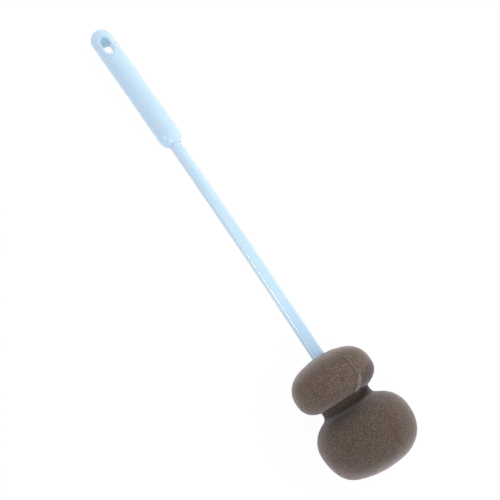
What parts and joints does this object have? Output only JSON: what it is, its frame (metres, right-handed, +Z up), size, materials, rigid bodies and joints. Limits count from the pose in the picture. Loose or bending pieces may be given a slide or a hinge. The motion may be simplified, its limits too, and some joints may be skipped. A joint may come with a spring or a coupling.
{
  "type": "foam cup brush",
  "caption": "Long-handled cup and bottle brush: a round grip with a hanging slot, a slim rod and a gourd-shaped head of abrasive foam.",
  "frame": {"origin": "on the surface that the brush lies on, under the middle of its length and width", "axes": "+X along the length from the grip to the foam head, +Z up; the tool's own axis rises 4.08 degrees towards +X, because the head is thicker than the grip"},
  "size_m": [0.3436, 0.0608, 0.0602],
  "materials": {
    "grip_plastic": "satin",
    "rod_plastic": "satin",
    "abrasive_foam": "matte"
  },
  "bodies": {
    "handle": {"grip": "grip_plastic", "rod": "rod_plastic"},
    "head": {"sponge_head": "abrasive_foam"}
  },
  "joints": [
    {"name": "sponge_pull_off", "type": "slide", "parent": "handle", "child": "head", "axis": [0.9975, 0, 0.0711], "range_m": [0, 0.075]}
  ]
}
